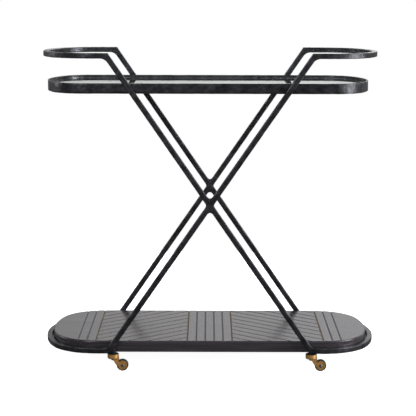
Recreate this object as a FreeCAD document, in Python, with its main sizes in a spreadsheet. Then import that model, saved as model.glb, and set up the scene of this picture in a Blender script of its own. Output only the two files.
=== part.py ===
import FreeCAD, Part
import math
import os

import Sketcher
from FreeCAD import Placement, Rotation, Vector

# A bar cart: two Z-shaped hoops of hammered square bar, crossing in the front
# and in the rear plane, carry a glass tray at the top and a grooved wooden
# shelf at the bottom, and stand on four swivel casters.
# X runs along the cart, Y from front to rear, Z up. The origin is on the
# floor, under the middle of the cart.

# Driving dimensions in millimetres.
SIZES = {
    "total_height": 914,
    "bar_size": 16,
    "hoop_depth": 440,
    "hoop_half_length": 490,
    "hoop_end_radius": 335,
    "hoop_corner_radius": 144,
    "bend_half_spacing": 292,
    "foot_height": 51,
    "weld_radius": 8,
    "weld_thickness": 15,
    "rim_half_length": 471,
    "rim_end_radius": 372,
    "rim_corner_radius": 98,
    "rim_height": 30,
    "rim_thickness": 5,
    "rim_top_height": 829,
    "tray_shift": -6.5,
    "glass_drop": 9,
    "glass_thickness": 6,
    "glass_play": 1,
    "bumper_thickness": 1,
    "bumper_radius": 4,
    "bumper_spacing": 200,
    "ledge_width": 12,
    "ledge_thickness": 3,
    "board_half_length": 468.5,
    "board_half_depth": 202,
    "board_end_radius": 399,
    "board_corner_radius": 130,
    "board_thickness": 33,
    "board_step": 2.5,
    "board_edge_radius": 4.5,
    "groove_half_width": 2.6,
    "groove_depth": 3,
    "cross_groove_pitch": 26,
    "end_groove_start": 330,
    "slant_pitch_along": 58.5,
    "slant_run": 484,
    "slant_start": 120,
    "bearer_width": 30,
    "bearer_thickness": 4,
    "bearer_spacing": 310,
    "bearer_play": 1,
    "shelf_ledge_width": 14,
    "screw_radius": 2,
    "screw_head_radius": 4.5,
    "screw_head_height": 2.4,
    "screw_length": 20,
    "screw_spacing": 150,
    "stem_half_spacing": 286,
    "stem_shift": 7.3,
    "stem_radius": 3,
    "stem_depth": 14,
    "boss_radius": 8,
    "washer_radius": 15,
    "washer_thickness": 1.2,
    "housing_radius": 16.4,
    "housing_height": 13.5,
    "housing_edge_radius": 3,
    "nut_across_flats": 10,
    "nut_thickness": 5,
    "running_gap": 0.2,
    "fit_gap": 0.05,
    "trail": 27,
    "tyre_radius": 17,
    "tyre_width": 11,
    "tyre_edge": 1,
    "wheel_radius": 13.2,
    "wheel_width": 12,
    "hub_width": 15.2,
    "hub_radius": 5,
    "web_width": 9,
    "web_step": 1,
    "wheel_lip": 2.5,
    "fork_gap": 16,
    "cheek_thickness": 2.5,
    "cheek_end_radius": 8.5,
    "cheek_start": 6,
    "cheek_shoulder": 16,
    "cheek_shoulder_drop": 6,
    "cheek_waist": 17,
    "cheek_waist_drop": 8,
    "cheek_throat": 8,
    "cheek_throat_rise": 3,
    "axle_radius": 2.5,
    "axle_head_radius": 4.8,
    "axle_head_height": 2.5,
    "axle_shoulder": 0.8,
    "axle_crown_radius": 2.9,
}

NEAR = 0.01          # how close two coordinates are to count as one place
SLANT_STEPS = range(-11, 2)  # the slanting grooves of one panel, counted from its first
CROSS_STEPS = (-2.5, -1.5, -0.5, 0.5, 1.5, 2.5)  # the middle grooves, in pitches
END_STEPS = (0, 1, 2)        # the grooves near each end, in pitches
COSINE_30 = math.cos(math.radians(30))
BUMPER_STEPS = (-1.5, -0.5, 0.5, 1.5)  # the bumpers of one side, in spacings
CORNERS = {          # caster name: side along X, side along Y
    "front_left": (-1, -1),
    "front_right": (1, -1),
    "rear_left": (-1, 1),
    "rear_right": (1, 1),
}


class Size:
    """A number together with the sheet expression that gives it."""

    def __init__(self, value, text):
        self.value = float(value)
        self.text = text

    def __add__(self, other):
        other = as_size(other)
        return Size(self.value + other.value, f"({self.text} + {other.text})")

    def __sub__(self, other):
        other = as_size(other)
        return Size(self.value - other.value, f"({self.text} - {other.text})")

    def __mul__(self, other):
        other = as_size(other)
        return Size(self.value * other.value, f"({self.text} * {other.text})")

    def __truediv__(self, other):
        other = as_size(other)
        return Size(self.value / other.value, f"({self.text} / {other.text})")

    def __radd__(self, other):
        return as_size(other) + self

    def __rsub__(self, other):
        return as_size(other) - self

    def __rmul__(self, other):
        return as_size(other) * self

    def __rtruediv__(self, other):
        return as_size(other) / self

    def __neg__(self):
        return as_size(-1) * self


def as_size(item):
    """A plain number becomes a Size with itself as its expression."""
    return item if isinstance(item, Size) else Size(item, f"({float(item)})")


def root(size):
    """Square root of a Size."""
    return Size(math.sqrt(size.value), f"sqrt({size.text})")


class Plan:
    """An outline seen from above: straight front and rear, rounded ends."""

    def __init__(self, half_length, half_depth, end_radius, corner_radius):
        self.half_length = as_size(half_length)
        self.half_depth = as_size(half_depth)
        self.end_radius = as_size(end_radius)
        self.corner_radius = as_size(corner_radius)

    def inset(self, step):
        """The same outline moved inwards by step."""
        return Plan(
            self.half_length - step,
            self.half_depth - step,
            self.end_radius - step,
            self.corner_radius - step,
        )

    def centre(self):
        """Distance from the middle to the centre of an end arc."""
        return self.half_length - self.end_radius


def make_sheet(doc):
    """Fill the spreadsheet and return every driving dimension as a Size."""
    sheet = doc.addObject("Spreadsheet::Sheet", "Sizes")
    for row, (alias, value) in enumerate(SIZES.items(), 1):
        sheet.set(f"A{row}", alias)
        sheet.set(f"B{row}", str(value))
        sheet.setAlias(f"B{row}", alias)
    doc.recompute()
    return {alias: Size(sheet.get(alias), f"Sizes.{alias}") for alias in SIZES}


def bind(thing, path, size):
    """Let the sheet drive one property."""
    thing.setExpression(path, as_size(size).text)


def new_body(doc, name):
    """Empty body whose label is the node's name."""
    body = doc.addObject("PartDesign::Body", name)
    body.Label = name
    body.AllowCompound = True
    return body


def new_sketch(body, name, role, offset=0):
    """Sketch on one of the body's own origin planes, moved along its normal."""
    plane = next(o for o in body.Origin.OriginFeatures if o.Role == role)
    sketch = body.newObject("Sketcher::SketchObject", name)
    sketch.AttachmentSupport = [(plane, "")]
    sketch.MapMode = "FlatFace"
    bind(sketch, "AttachmentOffset.Base.z", offset)
    return sketch


def pin(sketch, kind, edge, vertex, size):
    """Fix one coordinate of a point, counted from the sketch's origin."""
    size = as_size(size)
    if abs(size.value) < NEAR:
        axis = -2 if kind == "DistanceX" else -1
        sketch.addConstraint(Sketcher.Constraint("PointOnObject", edge, vertex, axis))
        return
    index = sketch.addConstraint(Sketcher.Constraint(kind, -1, 1, edge, vertex, size.value))
    bind(sketch, f"Constraints[{index}]", size)


def polygon(sketch, corners):
    """Closed polygon whose corners are pairs of sizes."""
    first = sketch.GeometryCount
    points = [Vector(as_size(x).value, as_size(y).value, 0) for x, y in corners]
    for start, end in zip(points, points[1:] + points[:1]):
        sketch.addGeometry(Part.LineSegment(start, end), False)
    for step, (x, y) in enumerate(corners):
        following = first + (step + 1) % len(corners)
        sketch.addConstraint(Sketcher.Constraint("Coincident", first + step, 2, following, 1))
        pin(sketch, "DistanceX", first + step, 1, x)
        pin(sketch, "DistanceY", first + step, 1, y)


def circle(sketch, x, y, radius):
    """Circle at a place given by sizes."""
    x, y, radius = as_size(x), as_size(y), as_size(radius)
    shape = Part.Circle(Vector(x.value, y.value, 0), Vector(0, 0, 1), radius.value)
    number = sketch.addGeometry(shape, False)
    pin(sketch, "DistanceX", number, 3, x)
    pin(sketch, "DistanceY", number, 3, y)
    set_radius(sketch, number, radius)


def plan_outline(sketch, plan):
    """Closed outline of a plan: straight sides, end arcs and corner arcs, all tangent."""
    centre, end_radius = plan.centre().value, plan.end_radius.value
    corner_radius, depth = plan.corner_radius.value, plan.half_depth.value
    rise = depth - corner_radius
    opening = math.asin(rise / (end_radius - corner_radius))
    straight = centre + math.sqrt((end_radius - corner_radius) ** 2 - rise ** 2)
    first = sketch.GeometryCount
    quarter = math.pi / 2
    add_arc(sketch, centre, 0, end_radius, -opening, opening)
    add_arc(sketch, straight, rise, corner_radius, opening, quarter)
    sketch.addGeometry(Part.LineSegment(Vector(straight, depth, 0), Vector(-straight, depth, 0)), False)
    add_arc(sketch, -straight, rise, corner_radius, quarter, math.pi - opening)
    add_arc(sketch, -centre, 0, end_radius, math.pi - opening, math.pi + opening)
    add_arc(sketch, -straight, -rise, corner_radius, math.pi + opening, 3 * quarter)
    sketch.addGeometry(Part.LineSegment(Vector(-straight, -depth, 0), Vector(straight, -depth, 0)), False)
    add_arc(sketch, straight, -rise, corner_radius, 3 * quarter, 4 * quarter - opening)
    for step in range(8):
        following = first + (step + 1) % 8
        sketch.addConstraint(Sketcher.Constraint("Tangent", first + step, 2, following, 1))
    for line, side in ((first + 2, 1), (first + 6, -1)):
        sketch.addConstraint(Sketcher.Constraint("Horizontal", line))
        pin(sketch, "DistanceY", line, 1, side * plan.half_depth)
    for arc, side in ((first, 1), (first + 4, -1)):
        pin(sketch, "DistanceX", arc, 3, side * plan.centre())
        pin(sketch, "DistanceY", arc, 3, 0)
        set_radius(sketch, arc, plan.end_radius)
    for arc in (first + 1, first + 3, first + 5, first + 7):
        set_radius(sketch, arc, plan.corner_radius)


def add_arc(sketch, x, y, radius, start, end):
    """Arc between two angles, anticlockwise."""
    whole = Part.Circle(Vector(x, y, 0), Vector(0, 0, 1), radius)
    sketch.addGeometry(Part.ArcOfCircle(whole, start, end), False)


def set_radius(sketch, curve, radius):
    """Fix the radius of an arc or a circle."""
    index = sketch.addConstraint(Sketcher.Constraint("Radius", curve, radius.value))
    bind(sketch, f"Constraints[{index}]", radius)


def pad(body, sketch, length, reverse=False, both_ways=False):
    """Add material along the sketch's normal."""
    feature = body.newObject("PartDesign::Pad", sketch.Name + "Pad")
    feature.Profile = sketch
    feature.Reversed = reverse
    feature.SideType = "Symmetric" if both_ways else "One side"
    bind(feature, "Length", length)
    sketch.Document.recompute()
    return feature


def pocket(body, sketch, length, along_normal=False, both_ways=False):
    """Remove material, and make sure that some was there."""
    before = body.Shape.Volume
    feature = body.newObject("PartDesign::Pocket", sketch.Name + "Pocket")
    feature.Profile = sketch
    feature.Reversed = along_normal
    feature.SideType = "Symmetric" if both_ways else "One side"
    bind(feature, "Length", length)
    sketch.Document.recompute()
    if body.Shape.Volume > before - NEAR:
        raise RuntimeError(f"{feature.Name} removed nothing")
    return feature


def fillet(body, feature, edges, radius):
    """Round the named edges of a feature."""
    rounded = body.newObject("PartDesign::Fillet", feature.Name + "Fillet")
    rounded.Base = (feature, edges)
    bind(rounded, "Radius", radius)
    body.Document.recompute()
    return rounded


def edges_at_height(shape, height):
    """Names of the edges that lie flat at one height."""
    names = []
    for number, edge in enumerate(shape.Edges, 1):
        if abs(edge.BoundBox.ZMin - height) < NEAR and abs(edge.BoundBox.ZMax - height) < NEAR:
            names.append(f"Edge{number}")
    return names


def add_plate(body, plan, floor, thickness):
    """Solid plate of a plan."""
    sketch = new_sketch(body, body.Name + "Outline", "XY_Plane", floor)
    plan_outline(sketch, plan)
    return pad(body, sketch, thickness)


def add_ring(body, plan, width, floor, thickness):
    """Flat ring that follows a plan."""
    sketch = new_sketch(body, body.Name + "Outline", "XY_Plane", floor)
    plan_outline(sketch, plan)
    plan_outline(sketch, plan.inset(width))
    return pad(body, sketch, thickness)


def cylinder(doc, name, radius, height, x=0, y=0, z=0):
    """Upright cylinder."""
    solid = doc.addObject("Part::Cylinder", name)
    bind(solid, "Radius", radius)
    bind(solid, "Height", height)
    bind(solid, "Placement.Base.x", x)
    bind(solid, "Placement.Base.y", y)
    bind(solid, "Placement.Base.z", z)
    return solid


def join(doc, name, parts):
    """Several objects as one."""
    fused = doc.addObject("Part::MultiFuse", name)
    fused.Shapes = parts
    fused.Label = name
    return fused


def cut(doc, name, base, tool):
    """One object less another."""
    left_over = doc.addObject("Part::Cut", name)
    left_over.Base = base
    left_over.Tool = tool
    left_over.Label = name
    return left_over


class Frame:
    """The sizes that the two hoops share."""

    def __init__(self, s):
        self.bar = s["bar_size"]
        self.half_bar = self.bar / 2
        self.depth = s["hoop_depth"]
        self.bend = s["bend_half_spacing"]
        self.top = s["total_height"]
        self.foot = s["foot_height"]
        self.top_middle = self.top - self.half_bar
        self.foot_middle = self.foot + self.half_bar
        self.crossing = (self.top_middle + self.foot_middle) / 2
        # A leg moves lean millimetres along X for each millimetre of height.
        self.lean = 2 * self.bend / (self.top_middle - self.foot_middle)
        self.stretch = root(1 + self.lean * self.lean)
        # The mitre moves this far along X over half a bar's height.
        self.mitre = self.half_bar * (self.stretch - self.lean)
        self.plan = Plan(
            s["hoop_half_length"], self.depth / 2, s["hoop_end_radius"], s["hoop_corner_radius"]
        )


def stem_x(s, side):
    """Where a caster's stem stands along X."""
    return side * s["stem_half_spacing"] + s["stem_shift"]


def stem_y(s, side):
    """Where a caster's stem stands along Y: under the middle of the bar."""
    return side * (s["hoop_depth"] / 2 - s["bar_size"] / 2)


def make_loop(doc, s, frame, name, side, is_handle):
    """U of square bar around one end, mitred where the legs meet it."""
    body = new_body(doc, name)
    middle = frame.top_middle if is_handle else frame.foot_middle
    add_ring(body, frame.plan, frame.bar, middle - frame.half_bar, frame.bar)
    slope = frame.mitre * (2 if is_handle else -2)
    reach = frame.plan.half_length + frame.bar
    sketch = new_sketch(body, name + "Mitre", "XZ_Plane")
    near_low = side * (frame.bend + slope)
    near_high = side * (frame.bend - slope)
    low, high = middle - frame.bar, middle + frame.bar
    polygon(sketch, [(near_low, low), (near_high, high), (-side * reach, high), (-side * reach, low)])
    pocket(body, sketch, frame.depth * 2, both_ways=True)
    if not is_handle and side > 0:
        bore_stems(body, s, frame, side, (-1, 1))
    return body


def bore_stems(body, s, frame, side, rows):
    """Blind holes for the caster stems, from below."""
    sketch = new_sketch(body, body.Name + "Bore", "XY_Plane", frame.foot)
    for row in rows:
        circle(sketch, stem_x(s, side), stem_y(s, row), s["stem_radius"] + s["fit_gap"])
    pocket(body, sketch, s["stem_depth"], along_normal=True)


def make_leg(doc, s, frame, name, side, row):
    """Straight sloping bar, half lapped where the other leg crosses it."""
    body = new_body(doc, name)
    front_face = row * frame.depth / 2 if row < 0 else frame.depth / 2 - frame.bar
    outer, inner = frame.bend - frame.mitre, frame.bend + frame.mitre
    sketch = new_sketch(body, name + "Side", "XZ_Plane", -front_face)
    polygon(sketch, [
        (-side * outer, frame.top),
        (side * inner, frame.foot + frame.bar),
        (side * outer, frame.foot),
        (-side * inner, frame.top - frame.bar),
    ])
    pad(body, sketch, frame.bar, reverse=True)
    lap = new_sketch(body, name + "Lap", "XZ_Plane", -(front_face + frame.half_bar))
    polygon(lap, lap_corners(frame, side))
    pocket(body, lap, frame.bar, along_normal=side > 0)
    bore_stems(body, s, frame, side, (row,))
    return body


def lap_corners(frame, side):
    """Outline of the other leg's bar where it crosses the leg with this foot side."""
    along_x, along_z = side * frame.lean / frame.stretch, 1 / frame.stretch
    reach = 2 * frame.bar
    corners = []
    for end, edge in ((1, 1), (1, -1), (-1, -1), (-1, 1)):
        x = end * reach * along_x + edge * frame.half_bar * along_z
        z = frame.crossing + end * reach * along_z - edge * frame.half_bar * along_x
        corners.append((x, z))
    return corners


def make_cross_weld(doc, s, frame, name, row):
    """Four rounded weld webs in the notches around a crossing."""
    body = new_body(doc, name)
    radius = s["weld_radius"]
    inset = (frame.bar - s["weld_thickness"]) / 2
    front_face = row * frame.depth / 2 if row < 0 else frame.depth / 2 - frame.bar
    face = -(front_face + inset)
    webs = new_sketch(body, name + "Webs", "XZ_Plane", face)
    rounds = new_sketch(body, name + "Rounds", "XZ_Plane", face)
    # Sine and cosine of a leg's angle to the X axis.
    sine, cosine = 1 / frame.stretch, frame.lean / frame.stretch
    for direction in (1, -1):
        corner = direction * frame.half_bar / sine
        centre = corner + direction * radius / sine
        touch = corner + direction * radius * cosine * cosine / sine
        height = radius * cosine
        polygon(webs, [
            (corner, frame.crossing), (touch, frame.crossing + height),
            (centre, frame.crossing), (touch, frame.crossing - height),
        ])
        circle(rounds, centre, frame.crossing, radius)
        corner = direction * frame.half_bar / cosine
        centre = corner + direction * radius / cosine
        touch = corner + direction * radius * sine * sine / cosine
        width = radius * sine
        polygon(webs, [
            (0, frame.crossing + corner), (width, frame.crossing + touch),
            (0, frame.crossing + centre), (-width, frame.crossing + touch),
        ])
        circle(rounds, 0, frame.crossing + centre, radius)
    pad(body, webs, s["weld_thickness"], reverse=True)
    pocket(body, rounds, s["weld_thickness"])
    return body


def make_tray(doc, s, frame):
    """Rim band, inner ledge, glass and the clear bumpers under the glass."""
    rim_plan = Plan(
        s["rim_half_length"], frame.depth / 2 - frame.bar, s["rim_end_radius"], s["rim_corner_radius"]
    )
    rim = new_body(doc, "tray_rim")
    add_ring(rim, rim_plan, s["rim_thickness"], s["rim_top_height"] - s["rim_height"], s["rim_height"])
    inside = rim_plan.inset(s["rim_thickness"])
    glass_floor = s["rim_top_height"] - s["glass_drop"] - s["glass_thickness"]
    ledge_top = glass_floor - s["bumper_thickness"]
    ledge = new_body(doc, "tray_glass_ledge")
    add_ring(ledge, inside, s["ledge_width"], ledge_top - s["ledge_thickness"], s["ledge_thickness"])
    glass = new_body(doc, "tray_glass")
    add_plate(glass, inside.inset(s["glass_play"]), glass_floor, s["glass_thickness"])
    for body in (rim, ledge, glass):
        bind(body, "Placement.Base.x", s["tray_shift"])
    return [rim, ledge, glass, make_bumpers(doc, s, inside, ledge_top)]


def make_bumpers(doc, s, inside, ledge_top):
    """Eight clear discs along the straight sides of the ledge."""
    row = inside.half_depth - s["ledge_width"] / 2
    places = ((step, side) for step in BUMPER_STEPS for side in (-1, 1))
    discs = []
    for number, (step, side) in enumerate(places, 1):
        name = f"bumper{number}"
        x = s["tray_shift"] + step * s["bumper_spacing"]
        disc = cylinder(doc, name, s["bumper_radius"], s["bumper_thickness"], x, side * row, ledge_top)
        discs.append(disc)
    return join(doc, "glass_bumpers", discs)


def groove_outline(sketch, x, top, s):
    """V-shaped section of a groove, open above the board."""
    half, depth = s["groove_half_width"], s["groove_depth"]
    polygon(sketch, [(x - 2 * half, top + depth), (x, top - depth), (x + 2 * half, top + depth)])


def make_cross_grooves(doc, s, top):
    """Cutter for the grooves that run straight from front to rear."""
    sketch = doc.addObject("Sketcher::SketchObject", "cross_groove_section")
    sketch.Placement = Placement(Vector(0, 0, 0), Rotation(Vector(1, 0, 0), 90))
    pitch, start = s["cross_groove_pitch"], s["end_groove_start"]
    for step in CROSS_STEPS:
        groove_outline(sketch, step * pitch, top, s)
    for side in (-1, 1):
        for step in END_STEPS:
            groove_outline(sketch, side * (start + step * pitch), top, s)
    return extrude(doc, "cross_grooves", sketch, s["hoop_depth"])


def extrude(doc, name, sketch, length):
    """Solid that runs both ways from a sketch."""
    solid = doc.addObject("Part::Extrusion", name)
    solid.Base = sketch
    solid.DirMode = "Normal"
    solid.Solid = True
    solid.Symmetric = True
    bind(solid, "LengthFwd", 2 * length)
    return solid


def make_slanted_grooves(doc, s, top):
    """Cutter for the slanting grooves of the left panel."""
    run, depth = s["slant_run"], 2 * s["board_half_depth"]
    pitch = s["slant_pitch_along"] * depth / root(run * run + depth * depth)
    # The first groove leaves the front edge at slant_start left of the middle.
    offset = -s["slant_start"] * depth + depth / 2 * run
    first = offset / root(run * run + depth * depth)
    angle = math.degrees(math.atan2(depth.value, run.value))
    sketch = doc.addObject("Sketcher::SketchObject", "slanted_groove_section")
    upright = Rotation(Vector(1, 0, 0), 90)
    sketch.Placement = Placement(Vector(0, 0, 0), Rotation(Vector(0, 0, 1), angle - 90) * upright)
    for step in SLANT_STEPS:
        groove_outline(sketch, first + step * pitch, top, s)
    grooves = extrude(doc, "slanted_grooves", sketch, 2 * s["board_half_length"])
    panel = doc.addObject("Part::Box", "slant_panel")
    inner = CROSS_STEPS[-1] * s["cross_groove_pitch"]
    bind(panel, "Length", s["end_groove_start"] - inner)
    bind(panel, "Width", s["hoop_depth"])
    bind(panel, "Height", 2 * s["board_thickness"])
    bind(panel, "Placement.Base.x", -s["end_groove_start"])
    bind(panel, "Placement.Base.y", -s["hoop_depth"] / 2)
    bind(panel, "Placement.Base.z", top - s["board_thickness"])
    left = doc.addObject("Part::Common", "left_slanted_grooves")
    left.Base = grooves
    left.Tool = panel
    right = doc.addObject("Part::Mirroring", "right_slanted_grooves")
    right.Source = left
    right.Normal = Vector(1, 0, 0)
    return [left, right]


def screw_places(s):
    """The six places where a screw goes up through a bearer."""
    return [
        (side * s["bearer_spacing"], row * s["screw_spacing"]) for side in (-1, 1) for row in (-1, 0, 1)
    ]


def make_shelf(doc, s, frame):
    """Grooved board, the bearers and ledges under it, and its screws."""
    floor = frame.foot + s["bearer_thickness"] - s["board_step"]
    top = floor + s["board_thickness"]
    plan = Plan(
        s["board_half_length"], s["board_half_depth"], s["board_end_radius"], s["board_corner_radius"]
    )
    blank = new_body(doc, "board_blank")
    plate = add_plate(blank, plan, floor, s["board_thickness"])
    fillet(blank, plate, edges_at_height(plate.Shape, top.value), s["board_edge_radius"])
    # The ends are cut back underneath, so that the middle hangs between the bearers.
    ends = new_sketch(blank, "EndSteps", "XY_Plane", floor)
    start = s["bearer_spacing"] - s["bearer_width"] / 2 - s["bearer_play"]
    reach, side_reach = s["hoop_half_length"], frame.depth / 2
    for side in (-1, 1):
        polygon(ends, [
            (side * start, -side_reach), (side * reach, -side_reach),
            (side * reach, side_reach), (side * start, side_reach),
        ])
    pocket(blank, ends, s["board_step"], along_normal=True)
    holes = new_sketch(blank, "ScrewHoles", "XY_Plane", floor)
    for x, y in screw_places(s):
        circle(holes, x, y, s["screw_radius"])
    depth = s["screw_length"] - s["bearer_thickness"] + s["board_step"]
    pocket(blank, holes, depth, along_normal=True)
    cutters = [make_cross_grooves(doc, s, top)] + make_slanted_grooves(doc, s, top)
    grooves = join(doc, "groove_cutters", cutters)
    board = cut(doc, "shelf_board", blank, grooves)
    bearers = [make_bearer(doc, s, frame, name, side) for name, side in (
        ("left_shelf_bearer", -1), ("right_shelf_bearer", 1),
    )]
    return [board] + bearers + [make_shelf_ledges(doc, s, frame), make_shelf_screws(doc, s, frame)]


def make_bearer(doc, s, frame, name, side):
    """Flat strap between the front and rear bars of one foot loop."""
    body = new_body(doc, name)
    sketch = new_sketch(body, name + "Outline", "XY_Plane", frame.foot)
    middle, half = side * s["bearer_spacing"], s["bearer_width"] / 2
    reach = frame.depth / 2 - frame.bar
    polygon(sketch, [
        (middle - half, -reach), (middle + half, -reach),
        (middle + half, reach), (middle - half, reach),
    ])
    for x, y in screw_places(s):
        if x.value * side > 0:
            circle(sketch, x, y, s["screw_radius"])
    pad(body, sketch, s["bearer_thickness"])
    return body


def make_shelf_ledges(doc, s, frame):
    """Flat strip inside each foot loop, from bearer round to bearer, under the board's end."""
    body = new_body(doc, "shelf_ledges")
    plan = frame.plan.inset(frame.bar)
    add_ring(body, plan, s["shelf_ledge_width"], frame.foot, s["bearer_thickness"])
    middle = new_sketch(body, "LedgeGap", "XY_Plane", frame.foot)
    reach, side_reach = s["bearer_spacing"] + s["bearer_width"] / 2, frame.depth / 2
    polygon(middle, [
        (-reach, -side_reach), (reach, -side_reach), (reach, side_reach), (-reach, side_reach),
    ])
    pocket(body, middle, s["bearer_thickness"], along_normal=True)
    return body


def make_shelf_screws(doc, s, frame):
    """Round-headed wood screws: a shank and a head under the bearer."""
    screws = []
    for number, (x, y) in enumerate(screw_places(s), 1):
        head_floor = frame.foot - s["screw_head_height"]
        head = cylinder(
            doc, f"screw_head{number}", s["screw_head_radius"], s["screw_head_height"], x, y, head_floor
        )
        shank = cylinder(
            doc, f"screw_shank{number}", s["screw_radius"], s["screw_length"], x, y, frame.foot
        )
        screws.append(join(doc, f"screw{number}", [head, shank]))
    return join(doc, "shelf_screws", screws)


def place_caster_part(part, s, side, row):
    """Move a caster piece from the origin to its corner of the cart."""
    bind(part, "Placement.Base.x", stem_x(s, side))
    bind(part, "Placement.Base.y", stem_y(s, row))
    return part


def make_boss(doc, s, frame, name, side, row, leg, loop):
    """Short round boss that fills the corner between the floor side of a bend and the stem."""
    x, y = stem_x(s, side), stem_y(s, row)
    post = cylinder(doc, name + "_post", s["boss_radius"], frame.bar, x, y, frame.foot)
    bore_radius = s["stem_radius"] + s["fit_gap"]
    bore = cylinder(doc, name + "_bore", bore_radius, frame.bar, x, y, frame.foot)
    around = cut(doc, name + "_around", post, join(doc, name + "_bars", [leg, loop]))
    return cut(doc, name, around, bore)


def make_stem(doc, s, frame, name, side, row):
    """Threaded stud from the nut up into the bar."""
    length = s["stem_depth"] + s["washer_thickness"] + s["housing_height"]
    length = length + 2 * s["running_gap"] + s["nut_thickness"]
    floor = frame.foot + s["stem_depth"] - length
    stem = cylinder(doc, name, s["stem_radius"], length, stem_x(s, side), stem_y(s, row), floor)
    stem.Label = name
    return stem


def make_washer(doc, s, frame, name, side, row):
    """Thin black disc between the bend and the swivel housing."""
    body = new_body(doc, name)
    sketch = new_sketch(body, name + "Outline", "XY_Plane", frame.foot - s["washer_thickness"])
    circle(sketch, 0, 0, s["washer_radius"])
    circle(sketch, 0, 0, s["stem_radius"] + s["fit_gap"])
    pad(body, sketch, s["washer_thickness"])
    return place_caster_part(body, s, side, row)


def housing_floor(s, frame):
    """Height of the underside of the swivel housing."""
    return frame.foot - s["washer_thickness"] - s["running_gap"] - s["housing_height"]


def make_nut(doc, s, frame, name, side, row):
    """Hexagonal nut that holds the swivel on its stem."""
    body = new_body(doc, name)
    floor = housing_floor(s, frame) - s["running_gap"] - s["nut_thickness"]
    sketch = new_sketch(body, name + "Outline", "XY_Plane", floor)
    flat = s["nut_across_flats"] / 2
    corner = 2 * flat / root(as_size(3))
    polygon(sketch, [
        (corner, 0), (corner / 2, flat), (-corner / 2, flat),
        (-corner, 0), (-corner / 2, -flat), (corner / 2, -flat),
    ])
    circle(sketch, 0, 0, s["stem_radius"])
    pad(body, sketch, s["nut_thickness"])
    return place_caster_part(body, s, side, row)


def make_fork(doc, s, frame, name, side, row):
    """Swivel housing with two tapered cheeks that slope down to the axle."""
    body = new_body(doc, name)
    floor = housing_floor(s, frame)
    ceiling = floor + s["housing_height"]
    disc = new_sketch(body, name + "Housing", "XY_Plane", floor)
    circle(disc, 0, 0, s["housing_radius"])
    housing = pad(body, disc, s["housing_height"])
    lower_edge = edges_at_height(housing.Shape, floor.value)
    fillet(body, housing, lower_edge, s["housing_edge_radius"])
    width = s["fork_gap"] + 2 * s["cheek_thickness"]
    trail, axle_height, end = s["trail"], s["tyre_radius"], s["cheek_end_radius"]
    cheek = new_sketch(body, name + "Cheek", "XZ_Plane")
    shoulder_height = ceiling - s["cheek_shoulder_drop"]
    # The outline joins the round end where the slope of each edge touches it.
    polygon(cheek, [
        (-s["cheek_start"], shoulder_height), (s["cheek_shoulder"], shoulder_height),
        (s["cheek_waist"], floor - s["cheek_waist_drop"]),
        (trail, axle_height + end),
        (trail - end / 2, axle_height - end * COSINE_30),
        (s["cheek_throat"], axle_height + s["cheek_throat_rise"]),
    ])
    pad(body, cheek, width, both_ways=True)
    ends = new_sketch(body, name + "CheekEnd", "XZ_Plane")
    circle(ends, trail, axle_height, end)
    pad(body, ends, width, both_ways=True)
    gap = new_sketch(body, name + "Gap", "XY_Plane", floor)
    reach, half_gap = 2 * s["housing_radius"] + s["trail"], s["fork_gap"] / 2
    polygon(gap, [(-reach, -half_gap), (reach, -half_gap), (reach, half_gap), (-reach, half_gap)])
    pocket(body, gap, floor)
    bore = new_sketch(body, name + "StemBore", "XY_Plane", floor)
    circle(bore, 0, 0, s["stem_radius"] + s["fit_gap"])
    pocket(body, bore, s["housing_height"], along_normal=True)
    axle_bore = new_sketch(body, name + "AxleBore", "XZ_Plane")
    circle(axle_bore, trail, axle_height, s["axle_radius"] + s["fit_gap"] / 2)
    pocket(body, axle_bore, 2 * width, both_ways=True)
    return place_caster_part(body, s, side, row)


def turned(doc, s, name, profile, side, row):
    """Round piece turned about the axle; the profile is (along the axle, radius) pairs."""
    body = new_body(doc, name)
    sketch = new_sketch(body, name + "Profile", "YZ_Plane", s["trail"])
    bind(sketch, "AttachmentOffset.Base.y", s["tyre_radius"])
    polygon(sketch, profile)
    spin = body.newObject("PartDesign::Revolution", name + "Turned")
    spin.Profile = sketch
    spin.ReferenceAxis = (sketch, ["H_Axis"])
    spin.Angle = 360
    doc.recompute()
    return place_caster_part(body, s, side, row)


def make_wheel(doc, s, name, side, row):
    """Brass wheel with a dished web and a hub."""
    bore = s["axle_radius"] + s["fit_gap"]
    hub, rim, web = s["hub_width"] / 2, s["wheel_width"] / 2, s["web_width"] / 2
    radius, hub_radius = s["wheel_radius"], s["hub_radius"]
    step, lip = s["web_step"], s["wheel_lip"]
    half = [(hub, bore), (hub, hub_radius), (web, hub_radius + step)]
    half += [(web, radius - lip - step), (rim, radius - lip), (rim, radius)]
    profile = half + [(-along, out) for along, out in reversed(half)]
    return turned(doc, s, name, profile, side, row)


def make_tyre(doc, s, name, side, row):
    """Thin black tyre pressed on the wheel."""
    half, inner, outer = s["tyre_width"] / 2, s["wheel_radius"], s["tyre_radius"]
    edge = s["tyre_edge"]
    profile = [
        (-half, inner), (half, inner), (half, outer - edge), (half - edge, outer),
        (edge - half, outer), (-half, outer - edge),
    ]
    return turned(doc, s, name, profile, side, row)


def make_axle(doc, s, name, side, row):
    """Steel pin with a low domed head outside each cheek."""
    pin_radius, head = s["axle_radius"], s["axle_head_radius"]
    cheek = s["fork_gap"] / 2 + s["cheek_thickness"]
    outer = cheek + s["axle_head_height"]
    shoulder = cheek + s["axle_shoulder"]
    half = [(cheek, pin_radius), (cheek, head), (shoulder, head), (outer, s["axle_crown_radius"])]
    profile = [(-outer, 0), (outer, 0)] + list(reversed(half)) + [(-along, out) for along, out in half]
    return turned(doc, s, name, profile, side, row)


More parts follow.
